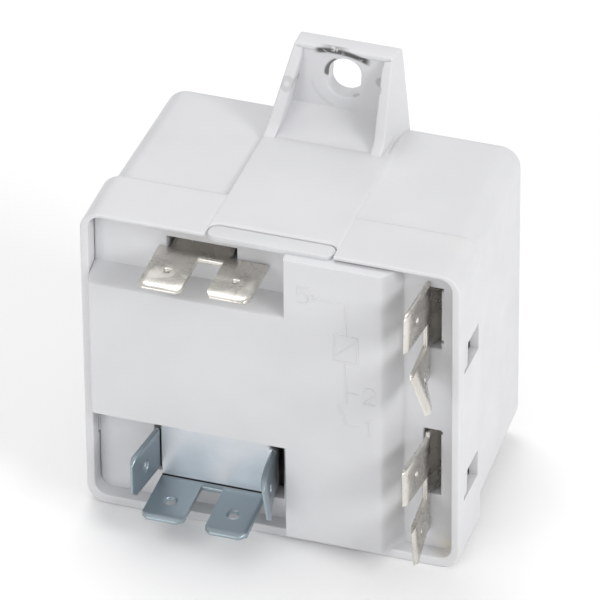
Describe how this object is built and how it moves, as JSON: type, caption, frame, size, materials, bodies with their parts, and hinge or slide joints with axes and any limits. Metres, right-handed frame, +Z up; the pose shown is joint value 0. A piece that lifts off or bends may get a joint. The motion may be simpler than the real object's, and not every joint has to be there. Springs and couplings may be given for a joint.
{
  "type": "potential relay",
  "caption": "Potential motor-start relay in a pale moulded box, with a slotted screw ear, push-on tab terminals and a four-way wiring bracket on its front.",
  "frame": {"origin": "middle of the bounding box's footprint, at the height of the collar's lowest face", "axes": "+Z up towards the screw ear, +Y out of the flat back that lies on the panel, the terminals face -Y, +X to the right as seen from the terminals"},
  "size_m": [0.0564, 0.0438, 0.0635],
  "materials": {
    "case_plastic": "pale grey moulded thermoplastic, satin",
    "base_plastic": "pale grey moulded thermoplastic, satin",
    "tinned_brass": "tin-plated brass strip",
    "bright_zinc": "steel strip, bright blue-tinged zinc plate",
    "bobbin_nylon": "natural nylon",
    "enamelled_copper": "fine enamelled copper wire",
    "coil_tape": "yellow polyester tape",
    "plated_iron": "soft iron, zinc plated",
    "steel_hardware": "plated steel",
    "spring_bronze": "phosphor bronze strip",
    "contact_silver": "silver alloy contact face",
    "phenolic_card": "paper phenolic sheet",
    "lead_sleeve": "sleeved coil lead",
    "fish_paper": "vulcanised fibre sheet"
  },
  "bodies": {
    "housing": {"case": "case_plastic", "terminal_base": "base_plastic", "terminal_5": "tinned_brass", "terminal_2": "tinned_brass", "terminal_1": "tinned_brass", "terminal_4": "bright_zinc", "bobbin": "bobbin_nylon", "coil_winding": "enamelled_copper", "coil_wrap": "coil_tape", "core": "plated_iron", "core_nut": "steel_hardware", "yoke": "plated_iron", "yoke_screw_left": "steel_hardware", "yoke_screw_right": "steel_hardware", "hinge_keeper": "steel_hardware", "return_spring": "steel_hardware", "fixed_contact": "contact_silver", "blade_clamp": "spring_bronze", "blade_rivet_front": "steel_hardware", "blade_rivet_rear": "steel_hardware", "coil_lead_5": "lead_sleeve", "coil_lead_2": "lead_sleeve", "arc_barrier": "fish_paper", "insulating_sheet": "fish_paper"},
    "armature_unit": {"armature": "plated_iron", "residual_shim": "spring_bronze", "lifter_card": "phenolic_card", "card_rivet_front": "steel_hardware", "card_rivet_rear": "steel_hardware"},
    "contact_arm": {"contact_blade": "spring_bronze", "moving_contact": "contact_silver"}
  },
  "joints": [
    {"name": "armature_hinge", "type": "hinge", "parent": "housing", "child": "armature_unit", "pos_m": [0.0028, 0.0044, 0.0126], "axis": [0, -1, 0], "range_deg": [0, 4], "stiffness_Nm_per_rad": 0.02, "springref_deg": -5.73},
    {"name": "contact_hinge", "type": "hinge", "parent": "housing", "child": "contact_arm", "pos_m": [0.0117, 0.0044, 0.039], "axis": [0, 1, 0], "range_deg": [0, 7], "stiffness_Nm_per_rad": 0.005, "springref_deg": -2.86}
  ],
  "couplings": [
    {"joint": "contact_hinge", "follows": "armature_hinge", "ratio": 1.7}
  ]
}
